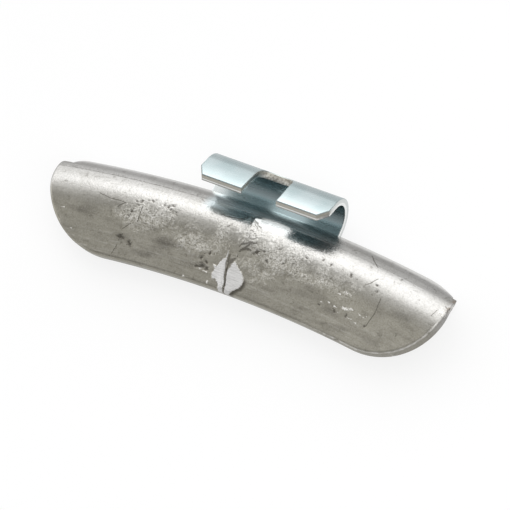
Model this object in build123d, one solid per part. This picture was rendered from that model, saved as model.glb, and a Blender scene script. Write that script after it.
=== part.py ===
from build123d import *
from math import acos, asin, cos, degrees, hypot, radians, sin, sqrt, tan
import os

# Clip-on wheel balance weight: a lead casting poured round the tail of a spring-steel clip.
# X runs along the rim, Y points away from the wheel axis and Z away from the flat outboard back.
# While it is modelled, Y = 0 is the top of the lead's ridge and Z = 0 the back.

# Lead body, lengths in millimetres and angles in degrees
ridge_radius = 203.0        # wheel axis to the top of the ridge
body_length = 67.6          # between the upper corners of the rim-side half
body_height = 14.55         # ridge to lower edge
body_thickness = 6.6        # back to the crown of the rim side
end_lean = 1.0              # the ends lean in this much more than a radius would
lower_corner_radius = 11.2  # large corner below each end
rim_edge_round = 0.9        # rounded edge of the rim-side half
nose_radius = 5.8           # rounded ridge, from the back over to the rim-side face

# Back half of the casting, behind the parting line
back_inset = 1.45           # the back half stops this far inside the rim-side half
back_draft = 12.0           # its walls lean in towards the back
back_edge_round = 0.5       # rounded edge of the flat back
parting_high = 5.3          # parting line above the back, at the ridge
parting_low = 3.0           # parting line above the back, at the lower edge

# Rim-side half of the casting
seam_step = 0.12            # mismatch of the two mould halves along the ridge
face_slope = 12.0           # the rim-side face falls towards the lower edge
ear_rise = 0.9              # the upper corners reach this far over the ridge, past the seam
ear_root = 1.5              # the corners' underside starts this far inside the seam
ear_length = 3.6            # where the seam starts to rise to them, from the end
ear_flat = 1.2              # length of their top

# Scar of the broken pouring gate, two torn lobes on the rim-side face
scar_offset = -0.5          # foot of the cleft between the lobes, along X
scar_lean = 12.0            # the cleft leans to the left
scar_cleft = 0.25           # width of the cleft
scar_foot = 0.3             # foot of the lobes above the lower edge
left_lobe_length = 6.6      # along the cleft
left_lobe_width = 1.9
left_lobe_belly = 0.3       # where the lobe is widest, as a share of its length
left_lobe_rise = 0.2        # height above the face
right_lobe_length = 4.0
right_lobe_width = 2.6
right_lobe_belly = 0.55
right_lobe_rise = 0.22

# Spring-steel clip
sheet = 1.12                # strip thickness
clip_width = 21.5
clip_offset = 1.15          # middle of the clip along X
clip_turn = -0.4            # the clip sits a little askew in the casting
clip_back = 1.1             # lead left between the strip and the back
hook_radius = 4.0           # outside of the hook
hook_rise = 4.55            # top of the hook above the ridge
hook_turn = 142.0           # angle that the hook bends through
lip_length = 3.95           # straight lip after the bend
lip_corner_along = 1.15     # cut corner of the lip, along X
lip_corner_up = 1.8         # cut corner of the lip, up the strip
slot_width = 5.7            # slot through the lip and the front of the hook
slot_corner_radius = 1.5
slot_past_top = 0.45        # the slot ends this far in front of the hook's top
tail_depth = 7.0            # strip cast into the lead, below the ridge

# Values that follow from those above
spare = 6.0                 # reach of a cutting shape past what it cuts
touching = 0.001            # points nearer than this lie on each other
wheel_axis = Axis((0, -ridge_radius, 0), (0, 0, 1))
half_angle = asin(body_length / 2 / ridge_radius)
nose_height = body_thickness - nose_radius
seam_angle = asin((parting_high - nose_height) / nose_radius)
seam_back_y = nose_radius * (cos(seam_angle) - 1)
seam_front_y = seam_back_y - seam_step


def parting_height(y):
    """Height of the parting line above the back, at a distance y from the ridge."""
    share = (seam_back_y - y) / (seam_back_y + body_height)
    return parting_high + share * (parting_low - parting_high)


def on_nose(angle, set_back=0):
    """Point of the rounded ridge in the Y-Z section, by its angle above the Y direction."""
    return Vector(nose_radius * (cos(angle) - 1) - set_back, nose_height + nose_radius * sin(angle))


def wheel_distance(point):
    """Distance of a point from the wheel axis."""
    return hypot(point.X, point.Y + ridge_radius)


def around_wheel(section):
    """Turn a Y-Z section about the wheel axis, past both ends of the weight."""
    reach = 2 * degrees(half_angle) + degrees(2 * spare / ridge_radius)
    turned = revolve(Plane.YZ * section, axis=wheel_axis, revolution_arc=reach)
    return turned.rotate(wheel_axis, -reach / 2)


def outline(inset):
    """Outline of the weight seen from the rim side, moved in by inset and open above the ridge."""
    slant = half_angle + radians(end_lean)
    up = Vector(sin(slant), cos(slant))
    out = Vector(cos(slant), -sin(slant))
    axle = Vector(0, -ridge_radius)
    low_radius = ridge_radius - body_height + inset
    corner = Vector(body_length / 2, ridge_radius * (cos(half_angle) - 1)) - out * inset
    climb = (corner - axle).dot(up)
    aside = (corner - axle).dot(out)
    foot = corner + up * (sqrt(low_radius**2 - aside**2) - climb)
    head = corner + up * spare
    left_foot = Vector(-foot.X, foot.Y)
    left_head = Vector(-head.X, head.Y)
    edges = [
        Line(head, foot),
        ThreePointArc(foot, axle + Vector(0, low_radius), left_foot),
        Line(left_foot, left_head),
        Line(left_head, head),
    ]
    face = make_face(edges)
    feet = face.vertices().sort_by(Axis.Y)[:2]
    return fillet(feet, lower_corner_radius - inset)


def upright(sketch):
    """Straight prism through the whole thickness of the weight."""
    return Pos(0, 0, -spare) * extrude(sketch, amount=body_thickness + 2 * spare)


def back_half():
    """Flat-backed half with drafted walls, up to the parting line."""
    low = -body_height - spare
    back_angle = asin(-nose_height / nose_radius)
    seam = on_nose(seam_angle)
    back_top = on_nose(back_angle)
    edges = [
        ThreePointArc(seam, on_nose((seam_angle + back_angle) / 2), back_top),
        Line(back_top, (low, 0)),
        Line((low, 0), (low, parting_height(low))),
        Line((low, parting_height(low)), seam),
    ]
    walls = extrude(outline(back_inset), amount=parting_high + spare, dir=(0, 0, -1), taper=back_draft)
    half = around_wheel(make_face(edges)) & Pos(0, 0, parting_high) * walls
    back = half.faces().filter_by(Plane.XY).sort_by(Axis.Z)[0]
    return fillet(back.edges(), back_edge_round)


def rim_side_blank():
    """Rim-side half with its rounded ridge and sloping face, as high as its upper corners all along."""
    low = -body_height - spare
    ear_angle = acos(1 + (seam_back_y + ear_rise) / nose_radius)
    face_angle = radians(90 + face_slope)
    ear_top = on_nose(ear_angle, seam_step)
    face_top = on_nose(face_angle, seam_step)
    face_low = Vector(low, face_top.Y + (low - face_top.X) * tan(radians(face_slope)))
    parting_end = Vector(low, parting_height(low))
    ear_foot = Vector(seam_front_y - ear_root, parting_height(seam_front_y - ear_root))
    edges = [
        ThreePointArc(ear_top, on_nose((ear_angle + face_angle) / 2, seam_step), face_top),
        Line(face_top, face_low),
        Line(face_low, parting_end),
        Line(parting_end, ear_foot),
        Line(ear_foot, ear_top),
    ]
    return around_wheel(make_face(edges)) & upright(outline(0))


def rim_edges(blank):
    """Edges of the rim-side half along its outline, above the parting line."""
    wall = outline(0).wire()
    found = []
    for edge in blank.edges():
        middle = edge @ 0.5
        on_wall = wall.distance_to(Vertex(middle.X, middle.Y, 0)) < touching
        above = middle.Z > parting_height(wheel_distance(middle) - ridge_radius) + touching
        across = edge.geom_type == GeomType.LINE and abs((edge % 0.5).Z) > 1 - touching
        if on_wall and above and not across:
            found.append(edge)
    return found


def near_end(along, radial):
    """Point at a distance along the arch from its right end and a radial distance from the ridge."""
    angle = half_angle - along / ridge_radius
    radius = ridge_radius + radial
    return Vector(radius * sin(angle), radius * cos(angle) - ridge_radius)


def ridge_gap():
    """Cutting shape between the upper corners, where the rim-side half stops at the seam."""
    start = near_end(ear_length, seam_front_y)
    rise = near_end(ear_flat, seam_front_y + ear_rise)
    far = Vector(rise.X, spare)

    def left(point):
        return Vector(-point.X, point.Y)

    edges = [
        ThreePointArc(left(start), (0, seam_front_y), start),
        Polyline(start, rise, far, left(far), left(rise), left(start)),
    ]
    return upright(make_face(edges))


def scar_lobe(blank, side, length, width, belly, rise):
    """One torn lobe of the gate scar: the rim-side face, raised inside a half-leaf outline."""
    up = Vector(-sin(radians(scar_lean)), cos(radians(scar_lean)))
    aside = Vector(up.Y, -up.X) * side
    foot = Vector(scar_offset, scar_foot - body_height) + aside * scar_cleft / 2
    tip = foot + up * length
    outer = foot + up * length * belly + aside * width
    leaf = make_face([Line(foot, tip), ThreePointArc(tip, outer, foot)])
    return Pos(0, 0, rise) * blank & upright(leaf)


def make_clip():
    """Bent strip: tail, hook with its slot, and lip with cut corners."""
    centre = Vector(hook_rise - hook_radius, clip_back + hook_radius)
    start = radians(-90)
    end = radians(hook_turn - 90)
    lip_way = Vector(-sin(end), cos(end))

    def on_bend(radius, angle):
        return centre + Vector(cos(angle), sin(angle)) * radius

    def bend(radius):
        return ThreePointArc(on_bend(radius, start), on_bend(radius, (start + end) / 2), on_bend(radius, end))

    outer = hook_radius
    inner = hook_radius - sheet
    outer_tail = Vector(-tail_depth, clip_back)
    inner_tail = Vector(-tail_depth, clip_back + sheet)
    outer_lip = on_bend(outer, end) + lip_way * lip_length
    inner_lip = on_bend(inner, end) + lip_way * lip_length
    edges = [
        Line(outer_tail, on_bend(outer, start)),
        bend(outer),
        Line(on_bend(outer, end), outer_lip),
        Line(outer_lip, inner_lip),
        Line(inner_lip, on_bend(inner, end)),
        bend(inner),
        Line(on_bend(inner, start), inner_tail),
        Line(inner_tail, outer_tail),
    ]
    strip = extrude(Plane.YZ * make_face(edges), amount=clip_width / 2, both=True)
    strip -= hook_slot(centre.Y + slot_past_top, outer_lip.Y + spare)
    lip_end = (outer_lip + inner_lip) / 2
    lip_plane = Plane((0, lip_end.X, lip_end.Y), x_dir=(1, 0, 0), z_dir=(0, -lip_way.Y, lip_way.X))
    strip -= lip_plane * lip_corners()
    return Pos(clip_offset, 0, 0) * Rot(0, 0, clip_turn) * strip


def hook_slot(closed_end, open_end):
    """Cutting shape of the slot, with round corners at its closed end."""
    plan = Pos(0, (closed_end + open_end) / 2) * Rectangle(slot_width, open_end - closed_end)
    plan = fillet(plan.vertices().sort_by(Axis.Y)[:2], slot_corner_radius)
    return extrude(Plane.XZ * plan, amount=hook_rise + spare, both=True)


def lip_corners():
    """Cutting shapes of both lip corners, in the plane of the lip with its end at the origin."""
    side = clip_width / 2
    corners = [(side, 0), (side - lip_corner_along, 0), (side, lip_corner_up)]
    right = extrude(make_face(Polyline(*corners, close=True)), amount=sheet, both=True)
    return right + mirror(right, about=Plane.YZ)


def make_body(clip):
    """Lead casting: both halves and the gate scar, with the clip's tail cast in."""
    blank = rim_side_blank()
    body = fillet(rim_edges(blank), rim_edge_round) - ridge_gap() + back_half()
    body += scar_lobe(blank, -1, left_lobe_length, left_lobe_width, left_lobe_belly, left_lobe_rise)
    body += scar_lobe(blank, 1, right_lobe_length, right_lobe_width, right_lobe_belly, right_lobe_rise)
    return body - clip


rim_clip = make_clip()
lead_weight = make_body(rim_clip)

# The origin is below the middle of the whole weight, on the surface that it lies on.
box = lead_weight.bounding_box().add(rim_clip.bounding_box())
to_origin = Pos(-box.center().X, -box.center().Y, -box.min.Z)

os.makedirs("parts", exist_ok=True)
export_step(to_origin * lead_weight, "parts/lead_weight.step")
export_step(to_origin * rim_clip, "parts/rim_clip.step")
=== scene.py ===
"""Finished looks of a clip-on wheel balance weight: lead casting, plated clip and a plain stage."""

import math

import bmesh
import bpy
import numpy as np
from bpy.props import FloatProperty, FloatVectorProperty, IntProperty, PointerProperty
from bpy.types import Operator, Panel, PropertyGroup
from mathutils import Matrix, Vector


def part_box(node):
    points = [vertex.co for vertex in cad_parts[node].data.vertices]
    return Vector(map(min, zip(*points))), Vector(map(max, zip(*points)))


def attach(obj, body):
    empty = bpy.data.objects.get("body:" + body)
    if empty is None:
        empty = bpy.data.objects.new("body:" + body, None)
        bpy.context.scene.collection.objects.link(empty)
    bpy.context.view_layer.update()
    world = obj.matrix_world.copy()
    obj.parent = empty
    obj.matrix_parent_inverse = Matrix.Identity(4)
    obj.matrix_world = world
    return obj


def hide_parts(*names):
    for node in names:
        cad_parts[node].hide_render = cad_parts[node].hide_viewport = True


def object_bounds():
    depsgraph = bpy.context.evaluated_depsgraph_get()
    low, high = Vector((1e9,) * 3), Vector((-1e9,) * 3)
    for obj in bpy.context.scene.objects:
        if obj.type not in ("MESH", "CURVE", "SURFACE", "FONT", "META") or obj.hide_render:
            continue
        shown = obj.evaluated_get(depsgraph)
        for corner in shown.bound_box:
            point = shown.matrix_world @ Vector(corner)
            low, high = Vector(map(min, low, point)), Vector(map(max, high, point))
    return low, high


bl_info = {
    "name": "Wheel balance weight",
    "version": (1, 0, 0),
    "blender": (4, 5, 0),
    "location": "View3D > Sidebar > Weight",
    "description": "Lead casting, plated clip and stage of a clip-on wheel balance weight",
    "category": "Add Mesh",
}

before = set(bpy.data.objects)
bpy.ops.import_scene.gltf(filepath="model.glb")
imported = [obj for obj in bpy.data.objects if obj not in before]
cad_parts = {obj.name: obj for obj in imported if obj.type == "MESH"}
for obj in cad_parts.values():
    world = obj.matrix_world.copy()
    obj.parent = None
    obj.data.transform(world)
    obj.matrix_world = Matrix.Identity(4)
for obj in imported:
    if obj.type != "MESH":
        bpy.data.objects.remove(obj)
CAD_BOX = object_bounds()
RIDGE_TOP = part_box("lead_weight")[1].y
PICTURE_SIDE = 510
SENSOR_WIDTH = 36.0
MM = 0.001


def number(name, description, default, **more):
    """Number property."""
    return FloatProperty(name=name, description=description, default=default, **more)


def steps(name, description, default):
    """Number of steps."""
    return IntProperty(name=name, description=description, default=default)


def length(name, description, default):
    """Length property, its default written in millimetres."""
    return number(name, description, default * MM, unit="LENGTH")


def angle(name, description, default):
    """Angle property, its default written in degrees."""
    return number(name, description, math.radians(default), unit="ROTATION")


def colour(name, description, default):
    """Colour property in linear light."""
    settings = {"default": default, "subtype": "COLOR", "min": 0, "max": 1}
    return FloatVectorProperty(name=name, description=description, **settings)


class LeadSizes(PropertyGroup):
    """Sizes of the lead casting."""

    ridge_radius: length("Ridge radius", "Wheel axis to the top of the ridge", 203.0)
    body_length: length("Length", "Between the upper corners of the rim-side half", 67.6)
    body_height: length("Height", "Ridge to lower edge", 14.55)
    body_thickness: length("Thickness", "Back to the crown of the rim side", 6.6)
    end_lean: angle("End lean", "The ends lean in this much more than a radius would", 1.0)
    lower_corner_radius: length("Lower corners", "Radius of the corner below each end", 11.2)
    rim_edge_round: length("Edge rounding", "Rounded edge of the rim-side half", 0.45)
    nose_radius: length("Nose radius", "Rounded ridge, from the back over to the rim-side face", 5.8)
    left_taper: length("Left taper", "Length of the ridge's fall to its left end", 1.6)
    left_fall: length("Left fall", "Fall of the ridge at its left end", 0.35)
    right_taper: length("Right taper", "Length of the ridge's fall to its right end", 4.4)
    right_fall: length("Right fall", "Fall of the ridge at its right end", 0.75)
    back_inset: length("Back inset", "The back half stops this far inside the rim-side half", 1.45)
    back_draft: angle("Back draft", "Walls of the back half lean in towards the back", 12.0)
    back_edge_round: length("Back edge", "Rounded edge of the flat back", 0.5)
    parting_high: length("Parting at ridge", "Parting line above the back, at the ridge", 5.3)
    parting_low: length("Parting below", "Parting line above the back, at the lower edge", 3.0)
    seam_step: length("Seam step", "Mismatch of the mould halves along the ridge", 0.03)
    face_slope: angle("Face slope", "The rim-side face falls towards the lower edge", 12.0)
    ear_rise: length("Ear rise", "The upper corners reach this far over the ridge, past the seam", 0.9)
    ear_root: length("Ear root", "The corners' underside starts this far inside the seam", 1.5)
    ear_length: length("Ear length", "Where the seam starts to rise to the corners", 4.2)
    ear_flat: length("Ear flat", "Length of the corners' top", 1.7)
    left_corner: length("Left corner", "Rounding of the left upper corner", 0.9)
    right_corner: length("Right corner", "Rounding of the right upper corner", 0.35)
    ear_blunt: length("Ear blunt", "The corners' tips are blunted over this length", 0.6)
    scar_rise: length("Scar rise", "Height of the torn gate scar above the face", 0.3)
    scar_reach: length("Scar reach", "Finer steps this far either side of the scar", 4.0)
    tip_start: length("Tip", "Where the brown right tip starts, along the rim", 32.3)
    tip_depth: length("Tip depth", "The brown tip ends this far below the ridge", 4.0)
    tip_fade: length("Tip fade", "Length over which the brown tip fades out", 1.0)
    clip_reach: length("Clip reach", "The skin is smooth this far either side of the clip's middle", 10.2)
    skin: length("Skin", "The outline stays this far inside the solid's", 0.02)
    stations: steps("Stations", "Steps along the casting", 380)
    levels: steps("Levels", "Steps from lower edge to seam, a multiple of 5", 150)


class ClipSizes(PropertyGroup):
    """Sizes of the spring-steel clip."""

    sheet: length("Sheet", "Strip thickness", 1.12)
    clip_width: length("Width", "Width of the strip", 21.5)
    clip_offset: length("Offset", "Middle of the clip along the rim", 1.15)
    clip_turn: angle("Turn", "The clip sits a little askew in the casting", -0.4)
    clip_back: length("Back cover", "Lead between the strip and the back", 1.1)
    hook_radius: length("Hook radius", "Outside of the hook", 4.0)
    hook_rise: length("Hook rise", "Top of the hook above the ridge", 4.55)
    hook_turn: angle("Hook turn", "Angle that the hook bends through", 142.0)
    lip_length: length("Lip", "Straight lip after the bend", 3.95)
    lip_corner_along: length("Lip corner", "Cut corner of the lip, along the rim", 1.15)
    lip_corner_up: length("Lip corner height", "Cut corner of the lip, up the strip", 1.8)
    slot_width: length("Slot width", "Slot through the lip and the front of the hook", 5.7)
    slot_corner_radius: length("Slot corners", "Corner radius of the slot's closed end", 2.6)
    slot_past_top: length("Slot end", "The slot ends this far in front of the hook's top", 0.45)
    tail_depth: length("Tail", "Strip cast into the lead, below the ridge", 7.0)
    edge_break: length("Edge break", "Rollover of the sheared edges", 0.12)


class Finish(PropertyGroup):
    """Colours of the finishes, the curl of the clip's lip and the floor's glow."""

    lead_dull: colour("Dull lead", "Weathered cast lead", (0.345, 0.34, 0.325))
    lead_bright: colour("Bright lead", "Clean cast lead", (0.435, 0.43, 0.42))
    lead_warm: colour("Warm lead", "Brownish skin of the rim-side face", (0.38, 0.358, 0.290))
    # Also the painted highlight along the ridge's outline
    lead_scuff_and_highlight: colour("Scuffed lead", "Rubbed and pitted patches", (0.72, 0.71, 0.68))
    # Also painted shade on the rounded edges, in and beside the gate scar and on the clip's slot end, and
    # painted dark reflections along the ridge
    lead_stain_and_shade: colour("Stained lead", "Dark stains and pits", (0.06, 0.053, 0.043))
    tip_stain: colour("Tip stain", "Brown right tip", (0.20, 0.165, 0.135))
    # Painted reflection of the blue clip on the lead near it
    clip_reflection_tint: colour("Clip reflection", "Painted reflection of the blue clip on the lead near it", (0.58, 0.665, 0.695))
    torn_lead: colour("Torn lead", "Freshly broken gate scar", (0.60, 0.595, 0.585))
    zinc: colour("Zinc", "Bright zinc plate with a blue tint", (0.335, 0.40, 0.41))
    zinc_worn: colour("Worn zinc", "Rubbed zinc plate", (0.39, 0.445, 0.455))
    zinc_inner: colour("Inner zinc", "Plate inside the hook", (0.41, 0.505, 0.525))
    sheared: colour("Sheared edge", "Bare fractured edge of the strip", (0.50, 0.475, 0.415))
    # Also painted highlights towards the lip's end and inside the hook's left end
    burnished: colour("Burnished edge", "Smooth part of the sheared edge", (0.82, 0.83, 0.82))
    lip_curl: length("Lip curl", "Fall of the lip's outer side past a straight line, twice", 0.9)
    floor: colour("Floor", "Plain pale floor", (0.78, 0.78, 0.78))
    floor_glow: number("Floor glow", "Share of plain white in the floor that is seen", 0.8, subtype="FACTOR")


class View(PropertyGroup):
    """Camera and light of the stage."""

    azimuth: angle("Azimuth", "Camera round the weight, 0 looks along +Y", 67.41)
    elevation: angle("Elevation", "Camera above the floor", 66.04)
    picture_turn: angle("Picture turn", "Fall of the weight's length to the right in the picture", 19.43)
    distance: length("Distance", "Camera to the middle of the ridge", 408.0)
    pixels_per_mm: number("Scale", "Picture pixels per millimetre at the ridge", 6.727)
    ridge_column: number("Ridge column", "Picture column of the ridge's middle", 273.3)
    ridge_row: number("Ridge row", "Picture row of the ridge's middle", 212.1)
    top_power: number("Top lamp", "Soft lamp over the right end", 4.6, unit="POWER")
    panel_light: number("Panel", "Level of the soft panel behind the ridge", 1.76)
    window_light: number("Window", "Level of the wide glow on the left", 2.88)
    dim_light: number("Dim light", "Level of the light from all sides", 0.10)
    front_light: number("Front", "Level of the low glow in front of the weight", 0.7)


class WeightSettings(PropertyGroup):
    """All settings of the weight."""

    lead: PointerProperty(type=LeadSizes)
    clip: PointerProperty(type=ClipSizes)
    finish: PointerProperty(type=Finish)
    view: PointerProperty(type=View)


def math_method(operation, reflected=False):
    """Method of a value that adds a Math node, with the value second where reflected."""

    def method(value, other=0.0):
        first, second = (other, value) if reflected else (value, other)
        return value.tree.node("ShaderNodeMath", {"operation": operation}, {0: first, 1: second})[0]

    return method


class Value:
    """A socket's number in an expression: each operator adds a Math node."""

    __add__ = math_method("ADD")
    __sub__ = math_method("SUBTRACT")
    __mul__ = math_method("MULTIPLY")
    __truediv__ = math_method("DIVIDE")
    __pow__ = math_method("POWER")
    __radd__ = math_method("ADD", reflected=True)
    __rsub__ = math_method("SUBTRACT", reflected=True)
    __rmul__ = math_method("MULTIPLY", reflected=True)
    __rtruediv__ = math_method("DIVIDE", reflected=True)
    larger = math_method("MAXIMUM")
    smaller = math_method("MINIMUM")
    sin = math_method("SINE")
    cos = math_method("COSINE")

    def __init__(self, tree, socket):
        self.tree = tree
        self.socket = socket

    def ramp(self, low, high):
        """0 at low, 1 at high, smooth between."""
        sockets = {"Value": self, "From Min": low, "From Max": high}
        return self.tree.node("ShaderNodeMapRange", {"interpolation_type": "SMOOTHSTEP"}, sockets)[0]


class Outputs:
    """Outputs of a node, by name or number, as values."""

    def __init__(self, tree, node):
        self.tree = tree
        self.node = node

    def __getitem__(self, key):
        return Value(self.tree, self.node.outputs[key])


class Tree:
    """Node tree written as expressions."""

    def __init__(self, node_tree):
        self.node_tree = node_tree
        node_tree.nodes.clear()

    def node(self, kind, settings=None, sockets=None):
        """Add a node: its settings first, then the values or links of its sockets."""
        made = self.node_tree.nodes.new(kind)
        for key, value in (settings or {}).items():
            setattr(made, key, value)
        for key, value in (sockets or {}).items():
            if isinstance(value, Value):
                self.node_tree.links.new(value.socket, made.inputs[key])
            else:
                made.inputs[key].default_value = value
        return Outputs(self, made)

    def vector(self, operation, sockets):
        return self.node("ShaderNodeVectorMath", {"operation": operation}, sockets)

    def dot(self, first, second):
        return self.vector("DOT_PRODUCT", {0: first, 1: second})["Value"]

    def apart(self, vector):
        return self.node("ShaderNodeSeparateXYZ", None, {0: vector})

    def combined(self, x, y, z):
        return self.node("ShaderNodeCombineXYZ", None, {0: x, 1: y, 2: z})[0]


class Shader(Tree):
    """Node material of one finish."""

    def __init__(self, name):
        self.material = bpy.data.materials.new(name)
        self.material.use_nodes = True
        super().__init__(self.material.node_tree)

    def millimetres(self):
        """Object coordinates in millimetres, from the middle of the ridge."""
        place = self.node("ShaderNodeTexCoord")["Object"]
        place = self.vector("SUBTRACT", {0: place, 1: (0, RIDGE_TOP, 0)})[0]
        return self.vector("SCALE", {0: place, "Scale": 1 / MM})[0]

    def stretched(self, place, scale):
        """Coordinates scaled apart along each axis."""
        return self.vector("MULTIPLY", {0: place, 1: scale})[0]

    def noise(self, place, scale, detail, roughness, distortion=0.0):
        """Noise between about 0 and 1, scale in features per unit of place."""
        sockets = {"Vector": place, "Scale": scale, "Detail": detail}
        sockets |= {"Roughness": roughness, "Distortion": distortion}
        return self.node("ShaderNodeTexNoise", None, sockets)["Fac"]

    def attribute(self, name):
        return self.node("ShaderNodeAttribute", {"attribute_name": name})["Fac"]

    def beside(self, place, points):
        """Distance from a line of points in the X-Y plane."""
        nearest = None
        for start, end in zip(points, points[1:]):
            way = Vector((*end, 0)) - Vector((*start, 0))
            arm = self.vector("SUBTRACT", {0: place, 1: (*start, 0)})[0]
            share = self.dot(arm, way / way.length_squared).larger(0).smaller(1)
            along = self.vector("SCALE", {0: way, "Scale": share})[0]
            away = self.vector("DISTANCE", {0: arm, 1: along})["Value"]
            nearest = away if nearest is None else nearest.smaller(away)
        return nearest

    def mix(self, factor, first, second):
        """Colour between first and second."""
        sockets = {0: factor, 6: self.as_colour(first), 7: self.as_colour(second)}
        return self.node("ShaderNodeMix", {"data_type": "RGBA"}, sockets)[2]

    @staticmethod
    def as_colour(value):
        return value if isinstance(value, Value) else (*value, 1.0)

    def layered(self, tone, layers):
        """Colours laid over a tone in order, each by its share."""
        for share, over in layers:
            tone = self.mix(share, tone, over)
        return tone

    def relief(self, layers):
        """Normal of layers of relief, each a height, its distance in millimetres and its strength."""
        normal = None
        for height, distance, strength in layers:
            sockets = {"Height": height, "Distance": distance * MM, "Strength": strength}
            if normal is not None:
                sockets["Normal"] = normal
            normal = self.node("ShaderNodeBump", None, sockets)["Normal"]
        return normal

    def finish(self, sockets):
        """Principled surface as the material's output."""
        surface = self.node("ShaderNodeBsdfPrincipled", None, sockets)["BSDF"]
        self.node("ShaderNodeOutputMaterial", None, {"Surface": surface})
        return self.material


class Outline:
    """Outline of the casting seen from the rim side, moved in by inset."""

    def __init__(self, sizes, inset):
        self.axle_y = -sizes.ridge_radius
        self.half_angle = math.asin(sizes.body_length / 2 / sizes.ridge_radius)
        slant = self.half_angle + sizes.end_lean
        self.up = np.array([math.sin(slant), math.cos(slant)])
        self.out = np.array([math.cos(slant), -math.sin(slant)])
        self.low_radius = sizes.ridge_radius - sizes.body_height + inset
        self.corner_radius = sizes.lower_corner_radius - inset
        corner = np.array([sizes.body_length / 2, sizes.ridge_radius * (math.cos(self.half_angle) - 1)])
        self.end = corner - self.out * inset
        axle = np.array([0.0, self.axle_y])
        arm = self.end - self.out * self.corner_radius - axle
        climb = arm @ self.up
        reach = (self.low_radius + self.corner_radius) ** 2 - (arm @ arm - climb**2)
        self.centre = axle + arm + self.up * (math.sqrt(reach) - climb)
        self.foot_angle = math.atan2(self.centre[0], self.centre[1] - self.axle_y)
        self.inward = -np.array([math.sin(self.foot_angle), math.cos(self.foot_angle)])
        self.turn = math.acos(self.inward @ self.out)

    def depth(self, x, y):
        """Distance inside the outline, without the open ridge side."""
        x = np.abs(x)
        to_end = (self.end[0] - x) * self.out[0] + (self.end[1] - y) * self.out[1]
        to_low = np.hypot(x, y - self.axle_y) - self.low_radius
        across = x - self.centre[0]
        above = y - self.centre[1]
        cross = self.inward[0] * above - self.inward[1] * across
        dot = self.inward[0] * across + self.inward[1] * above
        turned = np.arctan2(cross, dot)
        in_corner = (turned > 0) & (turned < self.turn)
        return np.where(in_corner, self.corner_radius - np.hypot(across, above), np.minimum(to_end, to_low))

    def foot(self, share):
        """Points of the lower edge: share 0 in its middle, 1 and -1 at the feet of the ends."""
        low = self.low_radius * self.foot_angle
        run = np.abs(share) * (low + self.corner_radius * self.turn)
        first = np.minimum(run, low) / self.low_radius
        then = np.maximum(run - low, 0) / self.corner_radius
        low_x = self.low_radius * np.sin(first)
        low_y = self.low_radius * np.cos(first) + self.axle_y
        way_x = self.inward[0] * np.cos(then) - self.inward[1] * np.sin(then)
        way_y = self.inward[0] * np.sin(then) + self.inward[1] * np.cos(then)
        x = np.where(run <= low, low_x, self.centre[0] + self.corner_radius * way_x)
        y = np.where(run <= low, low_y, self.centre[1] + self.corner_radius * way_y)
        return np.sign(share) * x, y

    def end_angle(self, radius):
        """Angle from the ridge's middle at which the end crosses a radius about the wheel axis."""
        arm = self.end - np.array([0.0, self.axle_y])
        climb = arm @ self.up
        far = math.sqrt(radius**2 - (arm @ arm - climb**2)) - climb
        point = arm + self.up * far
        return math.atan2(point[0], point[1])


# Marks on the rim-side face, in millimetres from the middle of the ridge
# Torn flakes of the gate scar, the cleft between them and the hollow above it, as outlines; the cleft's and
# the hollow's darkness is painted shade
LEFT_FLAKE = (
    (-1.7, -7.9), (-1.6, -9.0), (-1.55, -9.7), (-2.0, -10.0), (-2.4, -10.8), (-2.6, -11.3),
    (-3.3, -11.2), (-2.8, -11.75), (-3.0, -12.7), (-2.7, -13.2), (-2.25, -13.1), (-1.5, -13.75),
    (-1.4, -14.4), (-1.1, -14.9), (-0.55, -14.9), (-0.6, -13.2), (-0.9, -12.4), (-1.1, -11.4),
    (-1.3, -10.5), (-1.4, -9.0),
)
RIGHT_FLAKE = (
    (-0.1, -9.8), (0.4, -10.2), (1.05, -10.75), (1.6, -11.1), (2.1, -11.7), (2.15, -12.5), (1.85, -13.25),
    (1.1, -13.85), (0.2, -14.8), (-0.25, -14.8), (-0.35, -13.5), (-0.6, -12.4), (-0.8, -11.2), (-0.5, -10.9),
    (-0.5, -10.4),
)
CLEFT = ((-0.4, -14.9), (-0.48, -13.3), (-0.78, -12.3), (-1.0, -11.2), (-1.1, -10.1), (-1.2, -9.1))
HOLLOW = ((-1.05, -10.2), (-0.9, -10.9), (-0.2, -9.8), (0.3, -9.0), (-0.5, -9.4), (-1.1, -9.7))
# Pits: middle and size
PITS = (
    (-4.9, -12.0, 0.7), (-4.0, -12.1, 0.5), (-4.25, -9.95, 0.35), (2.75, -7.5, 0.6), (3.8, -7.05, 0.25),
    (4.6, -8.2, 0.35), (17.7, -6.1, 0.35), (14.2, -5.6, 0.25), (24.7, -4.0, 0.22), (21.9, -6.2, 0.22),
    (22.3, -7.0, 0.22), (12.8, -5.3, 0.22), (7.2, -7.8, 0.25), (14.5, -11.5, 0.22), (17.0, -11.6, 0.3),
    (19.0, -11.7, 0.3), (22.2, -12.2, 0.25), (-18.7, -12.1, 0.55), (-17.0, -12.6, 0.5), (-18.1, -6.4, 0.2),
    (-17.3, -6.2, 0.3), (-16.4, -5.7, 0.2), (-15.7, -5.6, 0.25), (-13.7, -5.6, 0.25), (-13.0, -5.6, 0.35),
    (-12.4, -5.2, 0.3), (-17.6, -6.9, 0.2), (-15.4, -5.2, 0.15), (-12.5, -5.9, 0.2), (-18.3, -8.1, 0.25),
    (-18.6, -8.8, 0.2), (-11.5, -6.0, 0.2), (5.9, -6.0, 0.16), (8.4, -6.4, 0.14), (10.3, -5.9, 0.16),
    (9.4, -8.6, 0.16), (0.0, -9.0, 0.2), (-5.3, -10.9, 0.35), (-5.7, -12.3, 0.3), (-4.3, -11.3, 0.35),
    (-3.6, -9.9, 0.18), (-5.0, -10.2, 0.16),
)
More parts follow.
